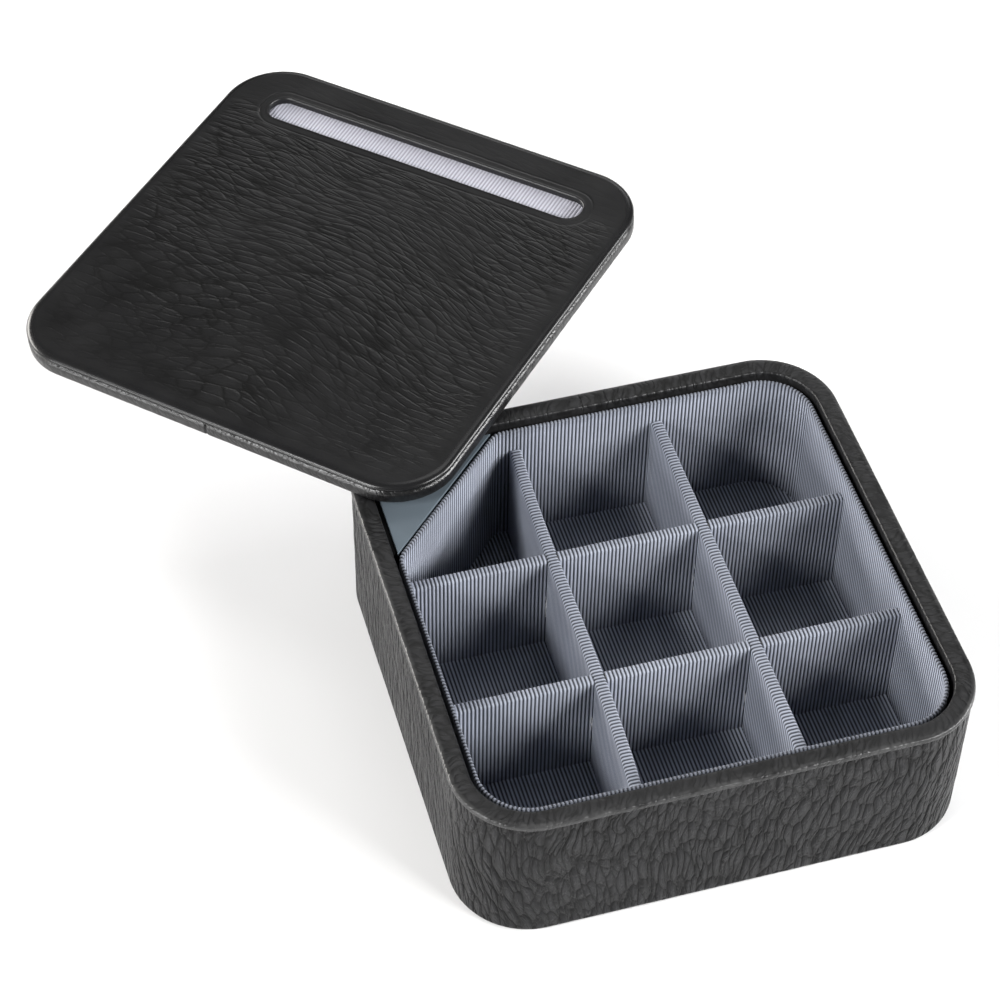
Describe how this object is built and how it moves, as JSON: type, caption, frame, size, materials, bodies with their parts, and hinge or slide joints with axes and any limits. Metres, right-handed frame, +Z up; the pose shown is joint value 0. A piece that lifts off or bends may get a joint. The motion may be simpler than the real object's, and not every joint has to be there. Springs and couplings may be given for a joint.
{
  "type": "jewelry box",
  "caption": "Square leather covered jewelry box with fabric lined compartments and a flat lid that swivels on a corner pivot.",
  "frame": {"origin": "centre of the underside of the box, which is the face it rests on", "axes": "+Z up, -Y towards the box's front, +X to the right; the lid's pivot is in the back left corner"},
  "size_m": [0.2302, 0.3126, 0.0631],
  "materials": {
    "side_leather": "coarse grained satin leather, black",
    "rim_leather": "fine grained satin leather strip, black",
    "lid_leather": "creased grain satin leather, black",
    "edge_leather": "smooth semi gloss leather band, black",
    "grosgrain": "ribbed grosgrain, blue grey",
    "ribbon": "ribbed grosgrain ribbon, light grey",
    "lining": "short napped lining, grey",
    "felt": "thin felt, black",
    "board": "raw fibreboard",
    "card": "grey board",
    "plate_paint": "satin paint, blue grey",
    "steel": "zinc plated steel",
    "brass": "turned brass",
    "nylon": "natural nylon"
  },
  "bodies": {
    "box": {"base_cover": "felt", "base_board": "board", "wall_frame": "board", "side_leather": "side_leather", "rim_leather": "rim_leather", "liner_card": "card", "liner_fabric": "grosgrain", "floor_card": "card", "floor_fabric": "grosgrain", "long_divider_left_core": "card", "long_divider_left_fabric": "grosgrain", "long_divider_right_core": "card", "long_divider_right_fabric": "grosgrain", "cross_divider_front_core": "card", "cross_divider_front_fabric": "grosgrain", "cross_divider_back_core": "card", "cross_divider_back_fabric": "grosgrain", "corner_block": "board", "corner_plate": "plate_paint", "corner_plate_screws": "steel", "pivot_bush": "brass"},
    "lid": {"lid_lining": "lining", "lid_base_board": "board", "lid_edge_leather": "edge_leather", "lid_top_board": "card", "lid_top_leather": "lid_leather", "slot_ribbon": "ribbon", "lid_pivot_disc": "steel", "lid_disc_screws": "steel", "pivot_stud": "steel", "spacer_washer": "nylon", "spring_washer": "steel", "pivot_nut": "steel"}
  },
  "joints": [
    {"name": "lid_swivel", "type": "hinge", "parent": "box", "child": "lid", "pos_m": [-0.0584, 0.0584, 0.05], "axis": [-0.0271, -0.0098, 0.9996], "range_deg": [-135, 45]}
  ]
}
